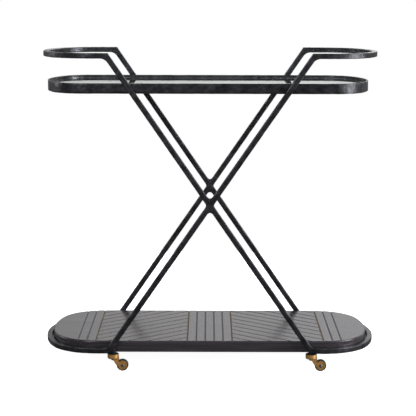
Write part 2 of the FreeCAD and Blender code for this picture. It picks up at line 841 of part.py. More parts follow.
def make_caster(doc, s, frame, corner, leg, loop):
    """All the pieces of one swivel caster, and on the left the boss that it screws into."""
    side, row = CORNERS[corner]
    bosses = []
    # On the right the stem stands under the loop's own bar.
    if side < 0:
        bosses.append(make_boss(doc, s, frame, f"{corner}_caster_boss", side, row, leg, loop))
    return bosses + [
        make_stem(doc, s, frame, f"{corner}_caster_stem", side, row),
        make_washer(doc, s, frame, f"{corner}_caster_washer", side, row),
        make_nut(doc, s, frame, f"{corner}_caster_nut", side, row),
        make_fork(doc, s, frame, f"{corner}_caster_fork", side, row),
        make_axle(doc, s, f"{corner}_caster_axle", side, row),
        make_wheel(doc, s, f"{corner}_caster_wheel", side, row),
        make_tyre(doc, s, f"{corner}_caster_tyre", side, row),
    ]


def check_document(doc):
    """Stop if any object of the document failed."""
    for thing in doc.Objects:
        if "Invalid" in thing.State or "Error" in thing.State:
            raise RuntimeError(f"{thing.Name} failed: {thing.State}")


def write_parts(parts):
    """Check each piece and write it to a file of its own."""
    os.makedirs("parts", exist_ok=True)
    for part in parts:
        shape = part.Shape
        if shape.isNull() or not shape.isValid() or shape.Volume < NEAR:
            raise RuntimeError(f"{part.Label} has no sound shape")
        shape.exportStep(f"parts/{part.Label}.step")
        print(f"{part.Label}: {len(shape.Solids)} solid(s), {shape.Volume / 1000:.1f} cm3")


def main():
    """Build the cart and write its pieces."""
    doc = FreeCAD.newDocument("BarCart")
    s = make_sheet(doc)
    frame = Frame(s)
    loops = {}
    for word, side in (("left", -1), ("right", 1)):
        loops[side, "handle"] = make_loop(doc, s, frame, f"{word}_handle_loop", side, True)
        loops[side, "foot"] = make_loop(doc, s, frame, f"{word}_foot_loop", side, False)
    legs = {
        corner: make_leg(doc, s, frame, f"{corner}_leg", side, row)
        for corner, (side, row) in CORNERS.items()
    }
    parts = list(loops.values()) + list(legs.values())
    for word, row in (("front", -1), ("rear", 1)):
        parts.append(make_cross_weld(doc, s, frame, f"{word}_cross_weld", row))
    parts += make_tray(doc, s, frame)
    parts += make_shelf(doc, s, frame)
    for corner, (side, _row) in CORNERS.items():
        parts += make_caster(doc, s, frame, corner, legs[corner], loops[side, "foot"])
    doc.recompute()
    check_document(doc)
    write_parts(parts)


main()
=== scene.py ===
"""Bar cart: two hammered iron hoops, a glass tray, a grooved board, four brass casters.

Each sub-assembly is a class that builds its meshes and dresses them. Each finish
is a frozen dataclass that makes one material. Lengths are in metres.
"""
import logging
import math
from dataclasses import dataclass, field
from enum import Enum

import bmesh
import bpy
import numpy as np
from mathutils import Matrix, Vector


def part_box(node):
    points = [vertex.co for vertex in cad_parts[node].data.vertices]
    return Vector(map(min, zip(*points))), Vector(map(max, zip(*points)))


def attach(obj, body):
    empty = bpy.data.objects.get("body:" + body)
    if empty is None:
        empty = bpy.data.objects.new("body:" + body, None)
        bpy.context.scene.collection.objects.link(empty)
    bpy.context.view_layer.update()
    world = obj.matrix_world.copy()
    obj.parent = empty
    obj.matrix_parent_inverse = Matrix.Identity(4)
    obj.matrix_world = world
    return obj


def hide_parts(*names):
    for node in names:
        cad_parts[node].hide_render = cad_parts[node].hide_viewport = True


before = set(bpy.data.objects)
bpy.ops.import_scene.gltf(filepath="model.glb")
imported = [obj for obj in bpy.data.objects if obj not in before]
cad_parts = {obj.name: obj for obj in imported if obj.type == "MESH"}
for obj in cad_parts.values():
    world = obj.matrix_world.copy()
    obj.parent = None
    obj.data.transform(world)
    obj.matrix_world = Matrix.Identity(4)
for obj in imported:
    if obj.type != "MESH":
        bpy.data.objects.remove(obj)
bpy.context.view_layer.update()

log = logging.getLogger("bar_cart")

MILLIMETRE = 0.001
TOUCHING = 1e-6  # two places this close are one
CART = "cart"


class End(Enum):
    """The end of the cart, along X, that a part belongs to."""

    LEFT = -1
    RIGHT = 1


class Corner(Enum):
    """The corner of the cart that a caster stands under."""

    FRONT_LEFT = "front_left"
    FRONT_RIGHT = "front_right"
    REAR_LEFT = "rear_left"
    REAR_RIGHT = "rear_right"


def linear(colour: str) -> tuple[float, float, float, float]:
    """Turns an sRGB hex colour into linear light.

    Args:
        colour: The colour, such as "#a27c4c".

    Returns:
        Red, green, blue and an alpha of one.
    """
    channels = [int(colour[i : i + 2], 16) / 255 for i in (1, 3, 5)]
    light = [c / 12.92 if c <= 0.04045 else ((c + 0.055) / 1.055) ** 2.4 for c in channels]
    return (light[0], light[1], light[2], 1.0)


def per_metre(millimetres: float) -> float:
    """Gives the texture scale whose features are this many millimetres apart."""
    return 1.0 / (millimetres * MILLIMETRE)


def add_node(
    tree: bpy.types.NodeTree, kind: str, inputs: dict | None = None, **settings: object
) -> bpy.types.Node:
    """Adds a node with its settings, values and links.

    Args:
        tree: The tree that gets the node.
        kind: The node's type name.
        inputs: Each input's name or number, with a value or the output that feeds it.
        settings: Attributes of the node, set before its inputs.

    Returns:
        The new node.
    """
    node = tree.nodes.new(kind)
    for name, value in settings.items():
        setattr(node, name, value)
    for key, value in (inputs or {}).items():
        if isinstance(value, bpy.types.NodeSocket):
            tree.links.new(value, node.inputs[key])
        else:
            node.inputs[key].default_value = value
    return node


def blank_material(name: str) -> tuple[bpy.types.Material, bpy.types.NodeTree]:
    """Makes a material with an empty node tree.

    Args:
        name: The material's name.

    Returns:
        The material and its tree.
    """
    material = bpy.data.materials.new(name)
    material.use_nodes = True
    material.node_tree.nodes.clear()
    return material, material.node_tree


def close_material(tree: bpy.types.NodeTree, shader: bpy.types.Node) -> None:
    """Feeds a shader to the material's output.

    Args:
        tree: The material's tree.
        shader: The shader.
    """
    add_node(tree, "ShaderNodeOutputMaterial", {"Surface": shader.outputs[0]})


@dataclass(frozen=True)
class HammeredIron:
    """Mild steel bar, forged flat by hand, blackened in oil and waxed.

    The eye sees a near-black satin with soft broken highlights, grey where the
    edges have been rubbed.
    """

    scale: str = "#16171a"
    bloom: str = "#303035"
    rubbed: str = "#5d5c61"
    blow_mm: float = 12.0
    pit_mm: float = 3.4
    mottle_mm: float = 24.0

    def material(self) -> bpy.types.Material:
        """Builds the material.

        Returns:
            The finished material.
        """
        material, tree = blank_material("blackened_hammered_iron")
        place = add_node(tree, "ShaderNodeTexCoord").outputs["Object"]
        mottle = add_node(
            tree, "ShaderNodeTexNoise", {"Vector": place, "Scale": per_metre(self.mottle_mm), "Detail": 4.0}
        )
        cloud = add_node(
            tree, "ShaderNodeMapRange", {"Value": mottle.outputs[0], "From Min": 0.34, "From Max": 0.66}
        )
        blackening = add_node(
            tree,
            "ShaderNodeMix",
            {0: cloud.outputs[0], 6: linear(self.scale), 7: linear(self.bloom)},
            data_type="RGBA",
        )
        # Edges rub bright in patches, not along their whole length.
        edge = add_node(tree, "ShaderNodeAttribute", attribute_name="edge")
        patches = add_node(
            tree,
            "ShaderNodeMapRange",
            {"Value": mottle.outputs[0], "From Min": 0.4, "From Max": 0.7, "To Max": 0.45},
        )
        rub = add_node(
            tree, "ShaderNodeMath", {0: edge.outputs["Fac"], 1: patches.outputs[0]}, operation="MULTIPLY"
        )
        colour = add_node(
            tree,
            "ShaderNodeMix",
            {0: rub.outputs[0], 6: blackening.outputs[2], 7: linear(self.rubbed)},
            data_type="RGBA",
        )
        blows = add_node(
            tree,
            "ShaderNodeTexVoronoi",
            {"Vector": place, "Scale": per_metre(self.blow_mm), "Smoothness": 0.6},
            feature="SMOOTH_F1",
        )
        pits = add_node(
            tree, "ShaderNodeTexNoise", {"Vector": place, "Scale": per_metre(self.pit_mm), "Detail": 4.0}
        )
        dished = add_node(
            tree,
            "ShaderNodeBump",
            {"Strength": 0.8, "Distance": 1.1 * MILLIMETRE, "Height": blows.outputs["Distance"]},
        )
        pitted = add_node(
            tree,
            "ShaderNodeBump",
            {
                "Strength": 0.5,
                "Distance": 0.16 * MILLIMETRE,
                "Height": pits.outputs[0],
                "Normal": dished.outputs[0],
            },
        )
        wax = add_node(
            tree,
            "ShaderNodeMapRange",
            {"Value": pits.outputs[0], "From Min": 0.3, "From Max": 0.7, "To Min": 0.3, "To Max": 0.48},
        )
        shader = add_node(
            tree,
            "ShaderNodeBsdfPrincipled",
            {
                "Base Color": colour.outputs[2],
                "Metallic": 0.7,
                "Roughness": wax.outputs[0],
                "Normal": pitted.outputs[0],
            },
        )
        close_material(tree, shader)
        return material


@dataclass(frozen=True)
class CoatedSteel:
    """Steel strip under a satin black powder coat, with a slight orange peel."""

    coat: str = "#1c1c1e"
    thin: str = "#29292b"
    peel_mm: float = 1.6
    cloud_mm: float = 40.0

    def material(self) -> bpy.types.Material:
        """Builds the material.

        Returns:
            The finished material.
        """
        material, tree = blank_material("powder_coated_steel")
        place = add_node(tree, "ShaderNodeTexCoord").outputs["Object"]
        cloud = add_node(
            tree, "ShaderNodeTexNoise", {"Vector": place, "Scale": per_metre(self.cloud_mm), "Detail": 2.0}
        )
        peel = add_node(
            tree, "ShaderNodeTexNoise", {"Vector": place, "Scale": per_metre(self.peel_mm), "Detail": 2.0}
        )
        colour = add_node(
            tree,
            "ShaderNodeMix",
            {0: cloud.outputs[0], 6: linear(self.coat), 7: linear(self.thin)},
            data_type="RGBA",
        )
        skin = add_node(
            tree,
            "ShaderNodeBump",
            {"Strength": 0.4, "Distance": 0.08 * MILLIMETRE, "Height": peel.outputs[0]},
        )
        gloss = add_node(
            tree,
            "ShaderNodeMapRange",
            {"Value": cloud.outputs[0], "From Min": 0.3, "From Max": 0.7, "To Min": 0.44, "To Max": 0.54},
        )
        shader = add_node(
            tree,
            "ShaderNodeBsdfPrincipled",
            {"Base Color": colour.outputs[2], "Roughness": gloss.outputs[0], "Normal": skin.outputs[0]},
        )
        close_material(tree, shader)
        return material


@dataclass(frozen=True)
class FloatGlass:
    """Clear tempered float glass, flat and polished, with a faint green body."""

    body: str = "#f1faf6"
    wipe_mm: float = 90.0

    def material(self) -> bpy.types.Material:
        """Builds the material.

        Returns:
            The finished material.
        """
        material, tree = blank_material("clear_float_glass")
        place = add_node(tree, "ShaderNodeTexCoord").outputs["Object"]
        # Wiping leaves long, very faint dull bands.
        wipe = add_node(
            tree,
            "ShaderNodeTexNoise",
            {"Vector": place, "Scale": per_metre(self.wipe_mm), "Detail": 3.0, "Distortion": 1.2},
        )
        haze = add_node(
            tree,
            "ShaderNodeMapRange",
            {"Value": wipe.outputs[0], "From Min": 0.45, "From Max": 0.75, "To Min": 0.0, "To Max": 0.006},
        )
        shader = add_node(
            tree,
            "ShaderNodeBsdfPrincipled",
            {
                "Base Color": linear(self.body),
                "Roughness": haze.outputs[0],
                "IOR": 1.52,
                "Transmission Weight": 1.0,
            },
        )
        close_material(tree, shader)
        return material


@dataclass(frozen=True)
class ClearVinyl:
    """Cast soft vinyl dots, clear and slightly cloudy."""

    body: str = "#e9edee"
    cloud_mm: float = 3.0

    def material(self) -> bpy.types.Material:
        """Builds the material.

        Returns:
            The finished material.
        """
        material, tree = blank_material("clear_cast_vinyl")
        place = add_node(tree, "ShaderNodeTexCoord").outputs["Object"]
        cloud = add_node(
            tree, "ShaderNodeTexNoise", {"Vector": place, "Scale": per_metre(self.cloud_mm), "Detail": 2.0}
        )
        haze = add_node(
            tree,
            "ShaderNodeMapRange",
            {"Value": cloud.outputs[0], "From Min": 0.3, "From Max": 0.7, "To Min": 0.16, "To Max": 0.34},
        )
        shader = add_node(
            tree,
            "ShaderNodeBsdfPrincipled",
            {
                "Base Color": linear(self.body),
                "Roughness": haze.outputs[0],
                "IOR": 1.53,
                "Transmission Weight": 0.85,
            },
        )
        close_material(tree, shader)
        return material


@dataclass(frozen=True)
class StainedOak:
    """Planed oak, stained black, its grooves wiped back warm, under a semi-gloss lacquer.

    Seen low it mirrors what is behind it in a soft grey; seen from above it is
    near black with an open grain along the cart.
    """

    stain: str = "#232124"
    open_grain: str = "#353337"
    groove: str = "#75694f"
    sheen: str = "#efe6f2"
    grain_mm: float = 3.2
    grain_length_mm: float = 160.0
    figure_mm: float = 26.0

    def material(self) -> bpy.types.Material:
        """Builds the material.

        Returns:
            The finished material.
        """
        material, tree = blank_material("lacquered_stained_oak")
        place = add_node(tree, "ShaderNodeTexCoord").outputs["Object"]
        along = self.grain_mm / self.grain_length_mm
        stretched = add_node(tree, "ShaderNodeMapping", {"Vector": place, "Scale": (along, 1.0, 1.0)})
        # Real pores are a fraction of a millimetre wide; they are drawn wider so that they show.
        pores = add_node(
            tree,
            "ShaderNodeTexNoise",
            {"Vector": stretched.outputs[0], "Scale": per_metre(self.grain_mm), "Detail": 5.0},
        )
        figure = add_node(
            tree,
            "ShaderNodeTexNoise",
            {
                "Vector": stretched.outputs[0],
                "Scale": per_metre(self.figure_mm),
                "Detail": 3.0,
                "Distortion": 0.6,
            },
        )
        streaks = add_node(
            tree,
            "ShaderNodeMapRange",
            {"Value": pores.outputs[0], "From Min": 0.38, "From Max": 0.68},
        )
        wood = add_node(
            tree,
            "ShaderNodeMix",
            {0: streaks.outputs[0], 6: linear(self.stain), 7: linear(self.open_grain)},
            data_type="RGBA",
        )
        groove = add_node(tree, "ShaderNodeAttribute", attribute_name="groove")
        colour = add_node(
            tree,
            "ShaderNodeMix",
            {0: groove.outputs["Fac"], 6: wood.outputs[2], 7: linear(self.groove)},
            data_type="RGBA",
        )
        lacquer = add_node(
            tree,
            "ShaderNodeMapRange",
            {"Value": figure.outputs[0], "From Min": 0.3, "From Max": 0.7, "To Min": 0.19, "To Max": 0.25},
        )
        dull = add_node(
            tree,
            "ShaderNodeMath",
            {0: groove.outputs["Fac"], 1: 0.55, 2: lacquer.outputs[0]},
            operation="MULTIPLY_ADD",
        )
        grain = add_node(
            tree,
            "ShaderNodeBump",
            {"Strength": 0.35, "Distance": 0.05 * MILLIMETRE, "Height": pores.outputs[0]},
        )
        shader = add_node(
            tree,
            "ShaderNodeBsdfPrincipled",
            {
                "Base Color": colour.outputs[2],
                "Roughness": dull.outputs[0],
                "Normal": grain.outputs[0],
                "IOR": 1.45,
                "Specular Tint": linear(self.sheen),
            },
        )
        close_material(tree, shader)
        return material


@dataclass(frozen=True)
class PlatedMetal:
    """A turned or stamped metal part whose plating varies a little in colour and polish."""

    name: str
    plate: str
    shade: str
    gloss: tuple[float, float]
    metallic: float = 1.0
    cloud_mm: float = 9.0
    grit_mm: float = 0.9
    grit_depth_mm: float = 0.04

    def material(self) -> bpy.types.Material:
        """Builds the material.

        Returns:
            The finished material.
        """
        material, tree = blank_material(self.name)
        place = add_node(tree, "ShaderNodeTexCoord").outputs["Object"]
        cloud = add_node(
            tree, "ShaderNodeTexNoise", {"Vector": place, "Scale": per_metre(self.cloud_mm), "Detail": 4.0}
        )
        grit = add_node(
            tree, "ShaderNodeTexNoise", {"Vector": place, "Scale": per_metre(self.grit_mm), "Detail": 2.0}
        )
        tarnish = add_node(
            tree, "ShaderNodeMapRange", {"Value": cloud.outputs[0], "From Min": 0.38, "From Max": 0.66}
        )
        colour = add_node(
            tree,
            "ShaderNodeMix",
            {0: tarnish.outputs[0], 6: linear(self.plate), 7: linear(self.shade)},
            data_type="RGBA",
        )
        polish = add_node(
            tree,
            "ShaderNodeMapRange",
            {
                "Value": cloud.outputs[0],
                "From Min": 0.3,
                "From Max": 0.7,
                "To Min": self.gloss[0],
                "To Max": self.gloss[1],
            },
        )
        skin = add_node(
            tree,
            "ShaderNodeBump",
            {"Strength": 0.4, "Distance": self.grit_depth_mm * MILLIMETRE, "Height": grit.outputs[0]},
        )
        shader = add_node(
            tree,
            "ShaderNodeBsdfPrincipled",
            {
                "Base Color": colour.outputs[2],
                "Metallic": self.metallic,
                "Roughness": polish.outputs[0],
                "Normal": skin.outputs[0],
            },
        )
        close_material(tree, shader)
        return material


@dataclass(frozen=True)
class MouldedRubber:
    """Black moulded rubber, matt, greyed by dust in its fine mould texture."""

    rubber: str = "#161617"
    dust: str = "#2e2d2c"
    texture_mm: float = 1.1
    scuff_mm: float = 7.0

    def material(self) -> bpy.types.Material:
        """Builds the material.

        Returns:
            The finished material.
        """
        material, tree = blank_material("moulded_black_rubber")
        place = add_node(tree, "ShaderNodeTexCoord").outputs["Object"]
        scuff = add_node(
            tree, "ShaderNodeTexNoise", {"Vector": place, "Scale": per_metre(self.scuff_mm), "Detail": 4.0}
        )
        texture = add_node(
            tree,
            "ShaderNodeTexNoise",
            {"Vector": place, "Scale": per_metre(self.texture_mm), "Detail": 2.0},
        )
        dusty = add_node(
            tree,
            "ShaderNodeMapRange",
            {"Value": scuff.outputs[0], "From Min": 0.45, "From Max": 0.75, "To Max": 0.8},
        )
        colour = add_node(
            tree,
            "ShaderNodeMix",
            {0: dusty.outputs[0], 6: linear(self.rubber), 7: linear(self.dust)},
            data_type="RGBA",
        )
        matt = add_node(
            tree,
            "ShaderNodeMapRange",
            {"Value": scuff.outputs[0], "From Min": 0.3, "From Max": 0.7, "To Min": 0.5, "To Max": 0.68},
        )
        skin = add_node(
            tree,
            "ShaderNodeBump",
            {"Strength": 0.5, "Distance": 0.06 * MILLIMETRE, "Height": texture.outputs[0]},
        )
        shader = add_node(
            tree,
            "ShaderNodeBsdfPrincipled",
            {"Base Color": colour.outputs[2], "Roughness": matt.outputs[0], "Normal": skin.outputs[0]},
        )
        close_material(tree, shader)
        return material


# Passivated zinc on cold-headed steel: bright, faintly clouded.
BRIGHT_ZINC = PlatedMetal("bright_zinc_steel", "#b9bdc1", "#8f949a", (0.26, 0.4))
# Turned steel pins, dull and a little stained.
DULL_STEEL = PlatedMetal("turned_dull_steel", "#5d6164", "#393c3f", (0.5, 0.66), cloud_mm=5.0)
# Black oxide on pressed steel: blue-black, satin, oily.
BLACK_OXIDE = PlatedMetal("black_oxide_steel", "#1b1c1e", "#2a2b2e", (0.36, 0.52), metallic=0.8)
# Pressed steel under antiqued brass plate: yellow where handled, brown elsewhere.
ANTIQUE_BRASS = PlatedMetal("antiqued_brass_plate", "#dcae6e", "#a97d49", (0.36, 0.5), cloud_mm=8.0)


class Palette:
    """One material of each finish, shared by all the pieces."""

    def __init__(self) -> None:
        """Builds every material once."""
        self.iron = HammeredIron().material()
        self.coated = CoatedSteel().material()
        self.glass = FloatGlass().material()
        self.vinyl = ClearVinyl().material()
        self.oak = StainedOak().material()
        self.zinc = BRIGHT_ZINC.material()
        self.steel = DULL_STEEL.material()
        self.oxide = BLACK_OXIDE.material()
        self.brass = ANTIQUE_BRASS.material()
        self.rubber = MouldedRubber().material()


def dress_node(name: str, material: bpy.types.Material) -> None:
    """Gives a CAD node its finish.

    Args:
        name: The node's name.
        material: The finish.
    """
    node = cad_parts[name]
    if not node.material_slots:
        node.data.materials.append(material)
    for slot in node.material_slots:
        slot.material = material
    log.info("%s: %s", name, material.name)


def mesh_object(
    name: str, mesh: bpy.types.Mesh, material: bpy.types.Material
) -> bpy.types.Object:
    """Puts a mesh in the scene with one finish.

    Args:
        name: The piece's name.
        mesh: Its mesh.
        material: Its finish.

    Returns:
        The new object.
    """
    mesh.materials.clear()
    mesh.materials.append(material)
    piece = bpy.data.objects.new(name, mesh)
    bpy.context.scene.collection.objects.link(piece)
    return piece


def run_tree(
    piece: bpy.types.Object, tree: bpy.types.GeometryNodeTree, values: dict[str, float]
) -> None:
    """Runs a Geometry Nodes tree on a piece and keeps the result as a plain mesh.

    Args:
        piece: The object whose mesh goes in and is replaced by what comes out.
        tree: The tree.
        values: A value for each named input.
    """
    modifier = piece.modifiers.new(tree.name, "NODES")
    modifier.node_group = tree
    for item in tree.interface.items_tree:
        if item.in_out == "INPUT" and item.name in values:
            modifier[item.identifier] = values[item.name]
    evaluated = piece.evaluated_get(bpy.context.evaluated_depsgraph_get())
    result = bpy.data.meshes.new_from_object(evaluated)
    piece.modifiers.remove(modifier)
    piece.data = result


def new_tree(name: str, inputs: dict[str, float | int]) -> tuple:
    """Starts a Geometry Nodes tree with a geometry input and named number inputs.

    Args:
        name: The tree's name.
        inputs: Each number input's name and default; an int makes an integer input.

    Returns:
        The tree and its input node.
    """
    tree = bpy.data.node_groups.new(name, "GeometryNodeTree")
    tree.interface.new_socket("Geometry", in_out="INPUT", socket_type="NodeSocketGeometry")
    for label, value in inputs.items():
        kind = "NodeSocketInt" if isinstance(value, int) else "NodeSocketFloat"
        tree.interface.new_socket(label, in_out="INPUT", socket_type=kind).default_value = value
    tree.interface.new_socket("Geometry", in_out="OUTPUT", socket_type="NodeSocketGeometry")
    return tree, add_node(tree, "NodeGroupInput")


def close_tree(
    tree: bpy.types.GeometryNodeTree, last: bpy.types.NodeSocket, material: bpy.types.Material
) -> None:
    """Ends a tree in Realize Instances and Set Material.

    Args:
        tree: The tree.
        last: The geometry that the tree has made.
        material: The finish set on it.
    """
    real = add_node(tree, "GeometryNodeRealizeInstances", {"Geometry": last})
    smooth = add_node(tree, "GeometryNodeSetShadeSmooth", {"Geometry": real.outputs[0]})
    dressed = add_node(
        tree, "GeometryNodeSetMaterial", {"Geometry": smooth.outputs[0], "Material": material}
    )
    add_node(tree, "NodeGroupOutput", {0: dressed.outputs[0]})


def hammering_tree(material: bpy.types.Material) -> bpy.types.GeometryNodeTree:
    """Makes the tree that dishes a surface inwards with overlapping hammer blows.

    Args:
        material: The finish of the forged piece.

    Returns:
        A tree with the inputs Blow Size, Blow Depth and Seed.
    """
    tree, given = new_tree("hammer_blows", {"Blow Size": 0.015, "Blow Depth": 0.0005, "Seed": 0})
    place = add_node(tree, "GeometryNodeInputPosition")
    normal = add_node(tree, "GeometryNodeInputNormal")
    density = add_node(tree, "ShaderNodeMath", {0: 1.0, 1: given.outputs["Blow Size"]}, operation="DIVIDE")
    blows = add_node(
        tree,
        "ShaderNodeTexVoronoi",
        {
            "Vector": place.outputs[0],
            "W": given.outputs["Seed"],
            "Scale": density.outputs[0],
            "Smoothness": 0.5,
        },
        voronoi_dimensions="4D",
        feature="SMOOTH_F1",
    )
    capped = add_node(tree, "ShaderNodeMath", {0: blows.outputs["Distance"], 1: 1.0}, operation="MINIMUM")
    sunk = add_node(tree, "ShaderNodeMath", {0: capped.outputs[0], 1: 1.0}, operation="SUBTRACT")
    depth = add_node(
        tree, "ShaderNodeMath", {0: sunk.outputs[0], 1: given.outputs["Blow Depth"]}, operation="MULTIPLY"
    )
    offset = add_node(
        tree,
        "ShaderNodeVectorMath",
        {0: normal.outputs[0], "Scale": depth.outputs[0]},
        operation="SCALE",
    )
    forged = add_node(
        tree,
        "GeometryNodeSetPosition",
        {"Geometry": given.outputs["Geometry"], "Offset": offset.outputs[0]},
    )
    close_tree(tree, forged.outputs[0], material)
    return tree


def rim_tree(material: bpy.types.Material) -> bpy.types.GeometryNodeTree:
    """Makes the tree that sweeps a flat bar, set on edge, round a closed plan.

    Args:
        material: The finish of the bar.

    Returns:
        A tree with the inputs Bar Height, Bar Thickness and Edge Radius.
    """
    tree, given = new_tree(
        "bent_flat_bar", {"Bar Height": 0.028, "Bar Thickness": 0.005, "Edge Radius": 0.0006}
    )
    path = add_node(tree, "GeometryNodeMeshToCurve", {"Mesh": given.outputs["Geometry"]})
    upright = add_node(
        tree, "GeometryNodeSetCurveNormal", {"Curve": path.outputs[0]}, mode="Z_UP"
    )
    section = add_node(
        tree,
        "GeometryNodeCurvePrimitiveQuadrilateral",
        {"Width": given.outputs["Bar Thickness"], "Height": given.outputs["Bar Height"]},
    )
    cut = add_node(tree, "GeometryNodeSubdivideCurve", {"Curve": section.outputs[0], "Cuts": 3})
    eased = add_node(
        tree,
        "GeometryNodeFilletCurve",
        {"Curve": cut.outputs[0], "Radius": given.outputs["Edge Radius"], "Count": 2},
        mode="POLY",
    )
    swept = add_node(
        tree,
        "GeometryNodeCurveToMesh",
        {"Curve": upright.outputs[0], "Profile Curve": eased.outputs[0]},
    )
    close_tree(tree, swept.outputs[0], material)
    return tree


def bead_tree(material: bpy.types.Material) -> bpy.types.GeometryNodeTree:
    """Makes the tree that lays overlapping weld scallops along seams.

    Args:
        material: The finish of the weld.

    Returns:
        A tree with the inputs Bead Radius, Pitch and Seed.
    """
    tree, given = new_tree("weld_bead", {"Bead Radius": 0.0022, "Pitch": 0.0018, "Seed": 0})
    seam = add_node(tree, "GeometryNodeMeshToCurve", {"Mesh": given.outputs["Geometry"]})
    steps = add_node(
        tree,
        "GeometryNodeCurveToPoints",
        {"Curve": seam.outputs[0], "Length": given.outputs["Pitch"]},
        mode="LENGTH",
    )
    scallop = add_node(
        tree,
        "GeometryNodeMeshUVSphere",
        {"Segments": 12, "Rings": 8, "Radius": given.outputs["Bead Radius"]},
    )
    uneven = add_node(
        tree,
        "FunctionNodeRandomValue",
        {2: 0.8, 3: 1.05, "Seed": given.outputs["Seed"]},
        data_type="FLOAT",
    )
    placed = add_node(
        tree,
        "GeometryNodeInstanceOnPoints",
        {
            "Points": steps.outputs["Points"],
            "Instance": scallop.outputs["Mesh"],
            "Rotation": steps.outputs["Rotation"],
            "Scale": uneven.outputs[1],
        },
    )
    close_tree(tree, placed.outputs[0], material)
    return tree


@dataclass(frozen=True)
class RoundedPlan:
    """A closed plan with straight sides along X and flattened round ends.

    Each end is one large arc about the X axis, with a smaller arc on each side
    that is tangent to it and to the straight side.
    """

    half_length: float
    half_depth: float
    end_radius: float
    corner_radius: float

    def inset(self, by: float) -> "RoundedPlan":
        """Gives the plan that runs this far inside this one."""
        return RoundedPlan(
            self.half_length - by, self.half_depth - by, self.end_radius - by, self.corner_radius - by
        )

    def corner_centre(self) -> tuple[float, float]:
        """Gives the centre of the corner arc in the +X, +Y quarter."""
        side = self.half_depth - self.corner_radius
        reach = self.end_radius - self.corner_radius
        return self.half_length - self.end_radius + math.sqrt(reach**2 - side**2), side

    def end(self, start: float, step: float) -> tuple[np.ndarray, np.ndarray]:
        """Walks round the +X end, from the front side to the rear side.

        Args:
            start: The X at which both straight sides begin.
            step: The longest step.

        Returns:
            The points in plan, and the outward direction at each.
        """
        x, y = self.corner_centre()
        turn = math.atan2(y, x - (self.half_length - self.end_radius))
        runs = [
            self._arc((x, -y), self.corner_radius, -math.pi / 2, -turn, step),
            self._arc((self.half_length - self.end_radius, 0.0), self.end_radius, -turn, turn, step),
            self._arc((x, y), self.corner_radius, turn, math.pi / 2, step),
        ]
        count = max(1, math.ceil((x - start) / step))
        side = np.linspace(start, x, count + 1)[:-1]
        front = np.stack([side, np.full(count, -self.half_depth)], 1)
        points = [front, runs[0][0], runs[1][0][1:-1], runs[2][0], front[::-1] * (1, -1)]
        down = np.tile((0.0, -1.0), (count, 1))
        normals = [down, runs[0][1], runs[1][1][1:-1], runs[2][1], -down]
        return np.concatenate(points), np.concatenate(normals)

    @staticmethod
    def _arc(centre: tuple, radius: float, start: float, stop: float, step: float) -> tuple:
        """Gives an arc's points and outward directions."""
        count = max(2, math.ceil(radius * abs(stop - start) / step))
        angle = np.linspace(start, stop, count + 1)
        out = np.stack([np.cos(angle), np.sin(angle)], 1)
        return np.asarray(centre) + radius * out, out


